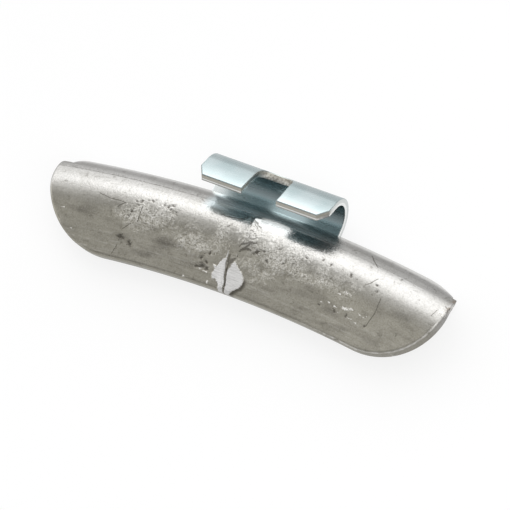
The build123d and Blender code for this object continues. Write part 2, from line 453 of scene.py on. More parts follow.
# Scratches, broader gashes and wrinkles: lines of points
SCRATCHES = (
    ((-24.3, -7.1), (-22.5, -7.3), (-19.7, -7.1), (-20.7, -8.1)), ((-18.5, -9.1), (-18.2, -7.7)),
    ((-16.9, -9.2), (-16.9, -6.7)), ((-18.9, -11.0), (-17.9, -9.8)), ((-19.3, -14.9), (-18.9, -13.4)),
    ((-18.9, -12.7), (-18.6, -11.6)), ((-17.4, -12.9), (-16.7, -12.3)), ((-0.2, -7.6), (0.3, -6.6)),
    ((20.1, -6.9), (21.0, -6.0), (21.6, -5.2)), ((23.2, -7.8), (23.1, -9.9), (22.4, -12.1)),
    ((18.6, -2.0), (19.5, -2.65), (20.6, -3.5)), ((31.2, -7.6), (31.6, -6.6)), ((32.4, -5.6), (33.0, -5.9)),
)
GASHES = (
    ((0.1, -8.2), (0.9, -7.25), (1.3, -6.7), (2.2, -6.2)), ((0.1, -7.1), (1.5, -6.4)),
    ((0.2, -8.0), (1.0, -7.5), (1.7, -7.5)),
)
WRINKLES = (
    ((-4.7, -3.9), (-3.0, -3.9), (-1.5, -3.6), (-0.65, -2.8), (0.45, -3.1), (1.9, -4.0)),
    ((-0.1, -3.3), (0.2, -4.2)), ((0.5, -3.3), (1.1, -3.9), (1.4, -4.4)), ((0.7, -4.7), (1.5, -5.0)),
    ((-3.1, -5.3), (-2.4, -4.9)),
)
# Light flecks: middle, half length and half height
LIGHT_FLECKS = (
    (-29.1, -10.9, 0.45, 0.08), (-26.9, -13.4, 0.25, 0.2), (-9.6, -9.0, 0.25, 0.2), (-12.5, -9.0, 0.25, 0.2),
    (15.7, -10.7, 0.5, 0.15), (16.8, -11.0, 0.6, 0.12), (18.6, -10.8, 0.9, 0.32), (19.6, -10.6, 0.5, 0.2),
    (20.9, -10.9, 0.35, 0.15), (21.6, -11.1, 0.3, 0.12), (22.1, -10.8, 0.15, 0.12), (14.6, -11.0, 0.25, 0.1),
    (17.5, -11.6, 0.5, 0.1), (19.6, -11.9, 0.6, 0.1), (20.6, -12.2, 0.4, 0.1), (18.2, -8.6, 0.9, 0.18),
    (17.0, -9.1, 0.5, 0.13), (15.2, -9.4, 0.2, 0.08), (14.0, -8.2, 0.2, 0.08), (-3.3, -14.0, 0.15, 0.5),
    (-5.1, -12.4, 0.4, 0.15), (-4.2, -12.6, 0.6, 0.12), (-7.3, -14.3, 0.35, 0.2), (32.4, -6.7, 1.0, 0.75),
)
# Scuffed patches and dark stains: middle, half length, half height and strength
SCUFFS = (
    (-16.0, -8.1, 5.4, 2.5, 1.0), (6.5, -7.3, 6.0, 3.0, 0.95), (15.0, -7.6, 4.8, 2.4, 0.75),
    (17.6, -8.8, 1.8, 0.7, 0.7), (-7.0, -8.8, 6.0, 3.0, 0.66), (-3.4, -7.6, 4.0, 3.2, 0.66),
    (1.0, -5.6, 3.2, 2.6, 0.85), (3.4, -9.6, 4.6, 2.2, 0.72),
)
STAINS = (
    (-11.5, -10.6, 2.8, 1.1, 1.0), (-24.9, -9.9, 2.4, 1.7, 0.8), (-18.6, -12.2, 2.0, 0.9, 0.9),
    (-14.4, -13.3, 3.4, 0.7, 0.8), (-7.3, -12.3, 2.4, 1.0, 0.7), (16.5, -11.9, 3.4, 0.8, 0.8),
    (27.2, -9.2, 2.6, 1.3, 0.6), (12.6, -9.8, 2.2, 0.9, 0.6),
)
# Depths, heights, widths and spans of the marks in millimetres, and slants as sideways run per height
PIT_DEPTH = 0.05
CLEFT_DEPTH = 0.12
CLEFT_WIDTH = 0.14
CLEFT_SLANT = 0.19
CLEFT_SPAN = (-9.8, -11.0)
TEAR_SPAN = (-9.0, -10.5)
TORN_EDGE = (-0.03, 0.05)
FLOW_RISE = 0.18
FLOW_WIDTH = 0.7
FLOW_SLANT = 0.15
FLOW_SPAN = (-7.5, -4.0)
FLOW_ASIDE = 0.25
# Turn from one pit to the next in radians
PIT_TURN = 2.4


def away_from(x, y, points):
    """Distance of each place from a line of points."""
    away = np.full(x.shape, np.inf)
    for (ax, ay), (bx, by) in zip(points, points[1:]):
        along_x = bx - ax
        along_y = by - ay
        share = ((x - ax) * along_x + (y - ay) * along_y) / (along_x**2 + along_y**2)
        share = np.clip(share, 0, 1)
        away = np.minimum(away, np.hypot(x - ax - share * along_x, y - ay - share * along_y))
    return away


def inside_polygon(x, y, points):
    """Signed distance of each place inside a polygon, in the polygon's unit."""
    closed = points + points[:1]
    away = away_from(x, y, closed)
    inside = np.zeros(x.shape, bool)
    for (ax, ay), (bx, by) in zip(closed, closed[1:]):
        crossing = (ay > y) != (by > y)
        with np.errstate(divide="ignore", invalid="ignore"):
            meets = ax + (y - ay) * (bx - ax) / (by - ay)
        inside ^= crossing & (x < meets)
    return np.where(inside, away, -away)


def spots(x, y, places, falloff, arch_radius):
    """Strongest of soft ellipses along the arch, given by middle, half length, half height and strength."""
    found = np.zeros(x.shape)
    for middle_x, middle_y, half_long, half_high, strength in places:
        across = y - middle_y + middle_x * (x - middle_x) / arch_radius
        away = np.hypot((x - middle_x) / half_long, across / half_high)
        found = np.maximum(found, strength * np.exp(-(away**falloff)))
    return found


def smooth(value, low, high):
    """0 at low, 1 at high, smooth between."""
    share = np.clip((value - low) / (high - low), 0, 1)
    return share * share * (3 - 2 * share)


def ragged(x, y, size):
    """Fixed uneven pattern between -1 and 1 for torn edges."""
    x = x / size
    y = y / size
    broad = np.sin(2.1 * x + 1.3 * np.sin(1.7 * y)) * np.cos(2.9 * y + 0.7)
    fine = np.sin(4.7 * (x + 1.9 * y) + 2.0 * np.sin(1.1 * x))
    return 0.6 * broad + 0.4 * fine


def gate_scar(x, y, rise):
    """Relief of the torn gate scar, and masks of its flakes, its cleft and the painted shade beside it: a
    painted shadow of the right flake and the shaded hollow.
    """
    tear = (0.07 * ragged(x, y, 0.27) + 0.05 * ragged(x + y, y - x, 0.11)) * smooth(y, *TEAR_SPAN)
    left, right = (
        smooth(inside_polygon(x, y, flake) + tear, *TORN_EDGE) for flake in (LEFT_FLAKE, RIGHT_FLAKE)
    )
    scar = np.maximum(left, right)
    foot_x, foot_y = CLEFT[0]
    from_cleft = x - foot_x + CLEFT_SLANT * (y - foot_y)
    relief = left * rise * (0.35 + 0.65 * np.exp(-(((from_cleft + 0.3) / 0.6) ** 2)))
    relief += right * rise * (0.7 - 0.1 * from_cleft)
    cleft = np.exp(-((away_from(x, y, CLEFT) / CLEFT_WIDTH) ** 2))
    relief -= CLEFT_DEPTH * cleft * smooth(y, *CLEFT_SPAN)
    # Painted shade in the hollow between the flakes' tops
    hollow = smooth(inside_polygon(x, y, HOLLOW) + 2 * tear + 0.1 * ragged(x, y, 0.2), -0.1, 0.15)
    # Painted shadow cast by the right flake, shifted to its lower right
    shade = smooth(inside_polygon(x - 0.5, y + 0.25, RIGHT_FLAKE), -0.25, 0.3)
    shade *= 1 - smooth(y, -12.4, -11.2)
    beside = np.maximum(0.8 * shade, 0.6 * hollow) * (1 - scar)
    return relief, scar, cleft, beside


def pitted(x, y):
    """Mask of the ragged pits, each an ellipse turned another way."""
    pit = np.zeros(x.shape)
    for turns, (pit_x, pit_y, size) in enumerate(PITS):
        way = PIT_TURN * turns
        along = ((x - pit_x) * math.cos(way) + (y - pit_y) * math.sin(way)) / (1.3 * size)
        aside = ((y - pit_y) * math.cos(way) - (x - pit_x) * math.sin(way)) / (0.75 * size)
        away = np.hypot(along, aside) + 0.5 * ragged(x + 3 * pit_x, y, 0.6 * size)
        pit = np.maximum(pit, 1 - smooth(away, 0.35, 1.1))
    return pit


class Casting:
    """Form of the lead casting: y = 0 at the ridge, z = 0 at the back."""

    def __init__(self, sizes, clip_middle):
        self.sizes = sizes
        self.clip_middle = clip_middle
        self.outline = Outline(sizes, sizes.skin)
        self.nose_height = sizes.body_thickness - sizes.nose_radius
        self.seam_angle = math.asin((sizes.parting_high - self.nose_height) / sizes.nose_radius)
        self.seam_back = sizes.nose_radius * (math.cos(self.seam_angle) - 1)
        self.seam_front = self.seam_back - sizes.seam_step
        self.ear_top = self.seam_front + sizes.ear_rise
        from_centre = self.ear_top + sizes.nose_radius + sizes.seam_step
        self.ear_height = self.nose_height + math.sqrt(sizes.nose_radius**2 - from_centre**2)

    def radial(self, x, y):
        """Distance outside the ridge's circle."""
        return np.hypot(x, y + self.sizes.ridge_radius) - self.sizes.ridge_radius

    def parting(self, radial):
        """Height of the parting line above the back."""
        sizes = self.sizes
        share = (self.seam_back - radial) / (self.seam_back + sizes.body_height)
        return sizes.parting_high + share * (sizes.parting_low - sizes.parting_high)

    def under(self, radial):
        """Underside of the rim side: the parting face, and the slanting underside of the upper corners."""
        root = self.seam_front - self.sizes.ear_root
        share = (radial - root) / (self.ear_top - root)
        slant = self.parting(root) + share * (self.ear_height - self.parting(root))
        return np.where(radial > root, slant, self.parting(radial))

    def top_radial(self, angle_along):
        """Upper edge of the rim side: the seam, and the corners that reach over the ridge past it."""
        sizes = self.sizes
        along = (self.outline.half_angle - np.abs(angle_along)) * sizes.ridge_radius
        corner = np.where(angle_along < 0, sizes.left_corner, sizes.right_corner)
        drop = corner - np.sqrt(corner**2 - (corner - np.clip(along, 0, corner)) ** 2)
        return self.seam_front + sizes.ear_rise * smooth(-along, -sizes.ear_length, -sizes.ear_flat) - drop

    def near_clip(self, x, radial):
        """Smooth skin under the clip, which also carries a painted reflection of the blue clip."""
        sizes = self.sizes
        along = smooth(np.abs(x - self.clip_middle), sizes.clip_reach, 0.8 * sizes.clip_reach)
        return along * smooth(radial, -0.75 * sizes.nose_radius, -0.45 * sizes.nose_radius)

    def rim_side(self, x, y):
        """Height of the rim side above the back, before its flaws."""
        sizes = self.sizes
        radial = self.radial(x, y)
        edge = sizes.rim_edge_round
        inside = np.clip(self.outline.depth(x, y), 0, edge)
        let_in = edge - np.sqrt(edge**2 - (edge - inside) ** 2)
        nose = sizes.nose_radius - let_in
        from_centre = radial + sizes.nose_radius + sizes.seam_step
        face_start = -nose * math.sin(sizes.face_slope)
        face_height = self.nose_height + nose * math.cos(sizes.face_slope)
        ridge = self.nose_height + np.sqrt(np.maximum(nose**2 - from_centre**2, 0))
        face = face_height + (from_centre - face_start) * math.tan(sizes.face_slope)
        return np.where(from_centre > face_start, ridge, face)

    def flaws(self, x, y):
        """Relief of the torn scar, pits and flow mark, and the masks of all marks."""
        x = x / MM
        y = y / MM
        relief, scar, cleft, beside = gate_scar(x, y, self.sizes.scar_rise / MM)
        pit = pitted(x, y) * (1 - scar)
        from_flow = x + FLOW_ASIDE + FLOW_SLANT * y
        flow = np.exp(-((from_flow / FLOW_WIDTH) ** 2)) * smooth(y, *FLOW_SPAN)
        relief += FLOW_RISE * flow - PIT_DEPTH * pit
        scar *= 1 - 0.7 * cleft
        arch = self.sizes.ridge_radius / MM
        flecks = [(*fleck, 1.0) for fleck in LIGHT_FLECKS]
        masks = {
            "scar": scar,
            # The cleft's darkness and the places beside the scar are painted shade; the pits are dark marks
            "dark": np.maximum.reduce([0.65 * cleft, 0.85 * pit, beside]),
            "light": spots(x, y, flecks, 2, arch) * (1 - scar),
            "scuff": spots(x, y, SCUFFS, 2.3, arch) * (1 - scar),
            "stain": spots(x, y, STAINS, 2, arch),
        }
        return relief * MM, masks


def mesh_object(name, points, faces, material, sharp_degrees=0, attributes=None, flat=False):
    """Mesh object at the origin, its points moved from the ridge's frame to the part's unless still flat."""
    mesh = bpy.data.meshes.new(name)
    points = np.asarray(points) + (0, 0 if flat else RIDGE_TOP, 0)
    mesh.from_pydata(points.tolist(), [], faces)
    mesh.polygons.foreach_set("use_smooth", [True] * len(mesh.polygons))
    mesh.set_sharp_from_angle(angle=math.radians(sharp_degrees))
    for key, values in (attributes or {}).items():
        mesh.attributes.new(key, "FLOAT", "POINT").data.foreach_set("value", np.asarray(values, np.float32))
    mesh.materials.append(material)
    if mesh.validate():
        raise RuntimeError(f"{name} has faulty faces")
    made = bpy.data.objects.new(name, mesh)
    bpy.context.collection.objects.link(made)
    return made


def quads(index):
    """Faces of a grid of point numbers, rows by columns."""
    corners = [index[:-1, :-1], index[:-1, 1:], index[1:, 1:], index[1:, :-1]]
    return np.stack(corners, axis=-1).reshape(-1, 4).tolist()


def band(first, second):
    """Faces between two closed loops of point numbers."""
    return np.stack([first, second, np.roll(second, -1), np.roll(first, -1)], axis=-1).tolist()


def open_loops(faces):
    """Closed loops of edges that only one face uses, in the faces' direction."""
    used = dict.fromkeys(edge for face in faces for edge in zip(face, face[1:] + face[:1]))
    follow = {first: second for first, second in used if (second, first) not in used}
    loops = []
    while follow:
        start = next(iter(follow))
        loop = [start]
        point = follow.pop(start)
        while point != start:
            loop.append(point)
            point = follow.pop(point)
        loops.append(loop)
    return loops


class RimSide:
    """Mesh of the rim-side half: lines from the lower edge up to the seam, closed by the parting face."""

    edge_steps = 12
    scar_fineness = 3
    under_rows = 5
    trial_steps = 700

    def __init__(self, casting):
        self.casting = casting
        self.sizes = casting.sizes
        share = self.stations()
        self.foot_x, self.foot_y = casting.outline.foot(share)
        top_angle = share * casting.outline.end_angle(self.sizes.ridge_radius + casting.ear_top)
        top_radius = self.sizes.ridge_radius + casting.top_radial(top_angle)
        self.top_x = top_radius * np.sin(top_angle)
        self.top_y = top_radius * np.cos(top_angle) - self.sizes.ridge_radius

    def stations(self):
        """Places of the lines, -1 and 1 at the ends, closer at the scar and on the rounded ends."""
        sizes = self.sizes
        edge_share = 2 * sizes.rim_edge_round / sizes.body_length
        flat = 1 - edge_share
        close = 2 * sizes.scar_reach / sizes.body_length
        middle = np.linspace(-flat, flat, sizes.stations + 1)
        fine_steps = int(self.scar_fineness * close * sizes.stations / 2) * 2
        fine = np.linspace(-close, close, fine_steps + 1)
        middle = np.sort(np.append(middle[np.abs(middle) > close], fine))
        bend = 1 - edge_share * (1 - np.sin(np.linspace(0, math.pi / 2, self.edge_steps + 1)[1:]))
        return np.concatenate([-bend[::-1], middle, bend])

    def across(self, way):
        """Places at a share of the way up each line, the tips of the upper corners blunted."""
        limit = CAD_BOX[1][0] - self.sizes.skin
        blunt = self.sizes.ear_blunt
        x = self.foot_x[:, None] + (self.top_x - self.foot_x)[:, None] * way
        past = np.maximum(np.abs(x) - limit + blunt, 0)
        x = x + np.sign(x) * (blunt * np.tanh(past / blunt) - past)
        y = self.foot_y[:, None] + (self.top_y - self.foot_y)[:, None] * way
        return x, y

    def ways(self):
        """Share of the way up at each level, in even steps over the curved face up to the seam."""
        trial = smooth(np.linspace(0, 1, self.trial_steps), 0, 1)
        x, y = self.across(trial)
        z = self.casting.rim_side(x, y)
        steps = np.hypot(np.hypot(np.diff(x), np.diff(y)), np.diff(z))
        run = np.concatenate([np.zeros((len(x), 1)), np.cumsum(steps, axis=1)], axis=1)
        above = z >= self.casting.under(self.casting.radial(x, y))
        last = above.shape[1] - 1 - np.argmax(above[:, ::-1], axis=1)
        levels = np.linspace(0, 1, self.sizes.levels + 1)
        return np.array([np.interp(levels * row[end], row, trial) for row, end in zip(run, last)])

    def faces(self, count, rows):
        """Faces of the rim side, the parting face, the lower edge and the two ends."""
        top = np.arange(count * rows).reshape(count, rows)
        under = np.arange(count * self.under_rows).reshape(count, -1) + count * rows
        under = np.concatenate([under, top[:, -1:]], axis=1)
        made = quads(top.T) + quads(under) + quads(np.stack([under[:, 0], top[:, 0]]))
        stride = self.sizes.levels // self.under_rows
        for block in range(self.under_rows):
            up = slice(block * stride, (block + 1) * stride + 1)
            right = [under[-1, block], under[-1, block + 1], *top[-1, up][::-1]]
            left = [under[0, block + 1], under[0, block], *top[0, up]]
            made += [list(dict.fromkeys(map(int, side))) for side in (right, left)]
        return made

    def mesh(self):
        """Points, faces and masks."""
        casting = self.casting
        sizes = self.sizes
        x, y = self.across(self.ways())
        relief, masks = casting.flaws(x, y)
        radial = casting.radial(x, y)
        inner = smooth(casting.outline.depth(x, y), 0, sizes.rim_edge_round)
        seam = smooth(radial, casting.seam_front - 0.1 * sizes.nose_radius, casting.seam_front)
        z = np.maximum(casting.rim_side(x, y) + relief * inner * (1 - seam), casting.under(radial))
        below = np.s_[:, : sizes.levels : sizes.levels // self.under_rows]
        points = np.concatenate([
            np.stack([x, y, z], axis=-1).reshape(-1, 3),
            np.stack([x[below], y[below], casting.under(radial[below])], axis=-1).reshape(-1, 3),
        ])
        tip_end = smooth(radial, -sizes.tip_depth, sizes.tip_fade - sizes.tip_depth)
        masks["tip"] = smooth(x, sizes.tip_start, sizes.tip_start + sizes.tip_fade) * tip_end
        masks["near_clip"] = casting.near_clip(x, radial)
        rest = np.zeros(x[below].size)
        masks = {key: np.concatenate([mask.ravel(), rest]) for key, mask in masks.items()}
        for key, mask in {"edge": 1 - inner, "radial": radial / MM}.items():
            masks[key] = np.concatenate([mask.ravel(), mask[below].ravel()])
        return points, self.faces(*x.shape), masks


class BackHalf:
    """Mesh of the back half: rings from the parting line down to the flat back."""

    stations = 181
    nose_rings = 26
    edge_rings = (0.7, 0.4, 0.2, 0.06, 0.0)
    end_steps = 9
    fall_steps = 13

    def __init__(self, casting):
        self.casting = casting
        self.sizes = casting.sizes

    def heights(self):
        """Heights of the rings above the back, with closer ones on the back's rounded edge."""
        nose_radius = self.sizes.nose_radius
        nose_height = self.casting.nose_height
        last = -math.asin(nose_height / nose_radius)
        turns = np.linspace(self.casting.seam_angle, last, self.nose_rings)[:-1]
        on_edge = self.sizes.back_edge_round * np.array(self.edge_rings)
        return np.sort(np.append(nose_height + nose_radius * np.sin(turns), on_edge))[::-1]

    def ridge_end(self, outline, radius, taper, fall):
        """Points from the right foot of a ring up its end, to where the ridge starts to fall."""
        whole = outline.end_angle(radius)
        corner, control, start = (
            np.array([radius * math.sin(turn), radius * math.cos(turn) - self.sizes.ridge_radius])
            for turn in (whole, whole - 0.5 * taper / radius, whole - taper / radius)
        )
        end_top = corner - outline.up * fall
        foot = np.concatenate(outline.foot(np.ones(1)))
        climb = np.linspace(0, 1, self.end_steps + 1)[1:, None]
        turn = np.linspace(0, 1, self.fall_steps + 1)[1:-1, None]
        points = np.concatenate([
            foot + (end_top - foot) * climb,
            (1 - turn) ** 2 * end_top + 2 * turn * (1 - turn) * control + turn**2 * start,
        ])
        return points.T

    def ring(self, height):
        """Closed line of points round the back half at a height."""
        sizes = self.sizes
        inset = sizes.back_inset + (sizes.parting_high - height) * math.tan(sizes.back_draft)
        low = max(0.0, 1 - height / sizes.back_edge_round)
        outline = Outline(sizes, inset + sizes.back_edge_round * (1 - math.sqrt(1 - low**2)))
        foot_x, foot_y = outline.foot(np.linspace(-1, 1, self.stations))
        nose = math.sqrt(sizes.nose_radius**2 - (height - self.casting.nose_height) ** 2)
        radius = sizes.ridge_radius + nose - sizes.nose_radius
        right_x, right_y = self.ridge_end(outline, radius, sizes.right_taper, sizes.right_fall)
        left_x, left_y = self.ridge_end(outline, radius, sizes.left_taper, sizes.left_fall)
        whole = outline.end_angle(radius)
        first = whole - sizes.right_taper / radius
        last = sizes.left_taper / radius - whole
        top_angle = np.linspace(first, last, self.stations)
        top_y = radius * np.cos(top_angle) - sizes.ridge_radius
        x = np.concatenate([foot_x, right_x, radius * np.sin(top_angle), -left_x[::-1]])
        y = np.concatenate([foot_y, right_y, top_y, left_y[::-1]])
        z = np.minimum(height, self.casting.parting(self.casting.radial(x, y)))
        return np.stack([x, y, z], axis=1)

    def mesh(self):
        """Points and faces."""
        rings = np.array([self.ring(height) for height in self.heights()])
        index = np.arange(rings[..., 0].size).reshape(rings.shape[:2])
        turned = np.roll(index, -1, axis=1)
        corners = [index[1:], turned[1:], turned[:-1], index[:-1]]
        faces = np.stack(corners, axis=-1).reshape(-1, 4).tolist()
        faces += [index[0].tolist(), index[-1][::-1].tolist()]
        return rings.reshape(-1, 3), faces


class CastLead(Shader):
    """Cast lead: mottled skin, scuffs, stains, casting lines, scratches and the pale torn scar."""

    def __init__(self, colours):
        super().__init__("cast_lead")
        self.colours = colours
        self.place = self.millimetres()
        self.along = self.apart(self.place)["X"]
        names = ("scar", "radial", "edge", "near_clip")
        self.scar, self.radial, self.edge, self.near_clip = map(self.attribute, names)
        self.cloud = self.noise(self.place, 0.12, 3.0, 0.5, 0.4)
        self.drift = self.noise(self.place, 0.35, 3.0, 0.6)
        self.mottle = self.noise(self.place, 0.9, 4.0, 0.6, 0.6)
        self.grain = self.noise(self.place, 2.6, 2.0, 0.6)
        self.fine = self.noise(self.place, 4.6, 1.0, 0.5)
        in_rows = self.combined(self.along * 0.07, self.radial * 2.6, 0.0)
        self.lines = self.noise(in_rows, 1.0, 3.0, 0.6)
        self.blotch = 0.75 * self.mottle + 0.25 * self.grain
        self.warm = self.radial.ramp(-4.0, -8.5)
        self.to_right = self.along.ramp(10.0, 20.0)
        scuffed = 0.8 * self.attribute("scuff") + 0.9 * self.mottle + self.drift + 0.3 * self.grain
        self.patch = scuffed.ramp(1.32, 1.95)
        self.light = (self.attribute("light") + 1.4 * self.fine + self.grain).ramp(1.72, 2.10)
        self.dark = self.dark_marks()
        self.flash = 9.5 * self.edge * self.edge * self.edge * (1 - self.edge) * self.to_right

    def drawn_lines(self):
        """Scratches, gashes and wrinkles, drawn unsteadily, and the places that they are drawn at."""
        sockets = {"Vector": self.place, "Scale": 1.6, "Detail": 3.0}
        waver = self.node("ShaderNodeTexNoise", None, sockets)["Color"]
        waver = self.vector("SUBTRACT", {0: waver, 1: (0.5, 0.5, 0.5)})[0]
        flat = self.stretched(self.place, (1.0, 1.0, 0.0))
        drawn, curled = (
            self.vector("ADD", {0: flat, 1: self.stretched(waver, (reach, reach, 0.0))})[0]
            for reach in (0.25, 0.9)
        )
        kinds = (
            (SCRATCHES, drawn, (0.11, 0.02)), (GASHES, drawn, (0.24, 0.08)),
            (WRINKLES, curled, (0.13, 0.03)),
        )
        mask = 0.0
        for lines, where, width in kinds:
            for points in lines:
                mask = self.beside(where, points).ramp(*width).larger(mask)
        return mask, drawn

    def dark_marks(self):
        """Pits, scratches and streaky stains, and the painted shade in and beside the gate scar."""
        scratch, drawn = self.drawn_lines()
        scratch = scratch * self.mottle.ramp(0.25, 0.45)
        streak = self.noise(self.stretched(drawn, (0.2, 0.7, 0.0)), 1.0, 2.0, 0.5, 0.3)
        stain = self.blotch.ramp(0.43, 0.31).larger(0.6 * self.warm * streak.ramp(0.52, 0.30))
        return self.attribute("dark").larger(scratch * 0.7).larger(stain * 0.40)

    def skin(self):
        """Colour of the weathered skin with its scuffs and stains, and the painted reflection of the blue
        clip near it.
        """
        colours = self.colours
        clean = (0.5 * self.cloud + 0.3 * self.mottle + 0.2 * self.lines).ramp(0.36, 0.64)
        cloudy = (self.attribute("stain") + 1.2 * self.drift + 0.8 * self.mottle).ramp(1.3, 2.1)
        crumbs = 0.35 * self.grain + 0.65 * self.fine
        return self.layered(self.mix(clean, colours.lead_dull, colours.lead_bright), (
            (self.warm * 0.75, colours.lead_warm),
            (self.warm * self.drift.ramp(0.56, 0.36) * 0.10, colours.lead_stain_and_shade),
            (cloudy * 0.5, colours.lead_stain_and_shade),
            (self.patch * (0.15 + 0.25 * self.grain.ramp(0.35, 0.65)), colours.lead_scuff_and_highlight),
            (crumbs.ramp(0.53, 0.60) * (0.10 + 0.55 * self.patch), colours.lead_scuff_and_highlight),
            (crumbs.ramp(0.46, 0.38) * (0.16 + 0.38 * self.patch), colours.lead_stain_and_shade),
            # Painted reflection of the blue clip, stronger on the left
            (self.near_clip * (0.3 + 0.4 * self.along.ramp(1.0, -2.0)), colours.clip_reflection_tint),
            (self.dark, colours.lead_stain_and_shade),
            (self.light * 0.85, colours.lead_scuff_and_highlight),
        ))

    def rims(self, skin):
        """The skin's colour with the light casting flash and painted shade on the rounded edges, the casting
        lines below, the seam line, and bands along the ridge: a painted highlight at its outline and painted
        dark reflections below it.
        """
        colours = self.colours
        to_right = self.to_right
        low = self.radial.ramp(-10.0, -12.0) * self.mottle.ramp(0.40, 0.60)
        wavy = self.radial + 0.3 * (self.mottle - 0.5)
        upper = wavy.ramp(-0.5, -0.95) * wavy.ramp(-1.75, -1.3)
        lower = wavy.ramp(-1.3, -1.5) * wavy.ramp(-2.4, -2.1) * to_right
        seam = wavy.ramp(-2.33, -2.22) * wavy.ramp(-2.07, -2.18) * self.along.ramp(-7.0, -10.0)
        return self.layered(skin, (
            (self.flash * self.mottle.ramp(0.3, 0.6), colours.lead_scuff_and_highlight),
            # Painted shade on the rounded edges
            (self.edge * self.edge * (0.28 + 0.07 * to_right), colours.lead_stain_and_shade),
            (low * self.lines.ramp(0.52, 0.68) * 0.22, colours.lead_scuff_and_highlight),
            (low * self.lines.ramp(0.48, 0.34) * 0.25, colours.lead_stain_and_shade),
            # Painted highlight along the ridge's outline
            (wavy.ramp(-0.9, -0.4) * (0.25 + 0.25 * to_right), colours.lead_scuff_and_highlight),
            # Painted dark reflections in bands below the ridge's outline, the lower band on the right only
            ((upper * (0.30 + 0.06 * to_right)).larger(lower * 0.2), colours.lead_stain_and_shade),
            (seam * self.grain.ramp(0.4, 0.6) * 0.5, colours.lead_stain_and_shade),
        ))

    def made(self):
        """The finished material."""
        colours = self.colours
        torn = self.noise(self.stretched(self.place, (0.8, 9.0, 1.0)), 1.0, 3.0, 0.6)
        broken = self.mix(torn.ramp(0.3, 0.6), colours.lead_bright, colours.torn_lead)
        tip = self.attribute("tip") * self.blotch.ramp(0.56, 0.44)
        tone = self.layered(self.rims(self.skin()), ((tip, colours.tip_stain), (self.scar, broken)))
        loose = self.scar.larger(self.light).larger(0.6 * self.flash)
        rough = 0.20 + 0.07 * self.to_right + 0.14 * self.warm + 0.10 * self.mottle
        rough = rough + 0.16 * self.patch + 0.10 * self.dark - 0.08 * self.near_clip
        relief = self.relief((
            (self.fine, 0.02, 0.5), (self.grain, 0.04, 0.4), (self.mottle * (0.25 + self.patch), 0.10, 0.6),
            (self.lines, 0.03, 0.4),
        ))
        return self.finish({
            "Base Color": tone, "Metallic": 1 - 0.6 * loose,
            "Roughness": rough * (1 - loose) + 0.55 * loose, "Normal": relief,
        })


def zinc_finish(finish):
    """Bright blue zinc plate with fine drawing lines, and bare sheared edges; painted highlights towards the
    lip's end and inside the hook's left end, and painted shade on the slot's end.
    """
    shader = Shader("zinc_plate")
    place = shader.millimetres()
    along = shader.apart(place)["X"]
    masks = ("sheared", "burnished", "inner", "lip", "slot")
    sheared, burnished, inner, lip, slot = map(shader.attribute, masks)
    cloud = shader.noise(place, 0.25, 3.0, 0.5)
    drawn = shader.noise(shader.stretched(place, (0.10, 2.0, 2.0)), 1.0, 3.0, 0.5)
    torn = shader.noise(shader.stretched(place, (2.5, 2.5, 2.5)), 1.0, 3.0, 0.6)
    worn = (0.85 * cloud + 0.15 * drawn).ramp(0.35, 0.7)
    tone = shader.layered(shader.mix(worn, finish.zinc, finish.zinc_worn), (
        (inner, finish.zinc_inner),
        # Painted highlight inside the hook's left end
        (inner * along.ramp(-5.0, -9.0) * 0.7, finish.burnished),
        # Painted highlight growing towards the lip's end
        (lip * lip * 0.08, finish.burnished),
        (sheared * (0.75 + 0.25 * torn), finish.sheared),
        (burnished, finish.burnished),
        # Painted shade on the slot's end wall, mottled
        (slot * (0.10 + 0.5 * torn.ramp(0.45, 0.62)), finish.lead_stain_and_shade),
    ))
    rough = 0.24 + 0.06 * drawn + 0.22 * sheared
    relief = shader.relief((
        (-0.5 * lip * lip, finish.lip_curl / MM, 1.0), (drawn, 0.01, 0.2), (torn * sheared, 0.06, 0.6),
    ))
    return shader.finish({"Base Color": tone, "Metallic": 1.0, "Roughness": rough, "Normal": relief})


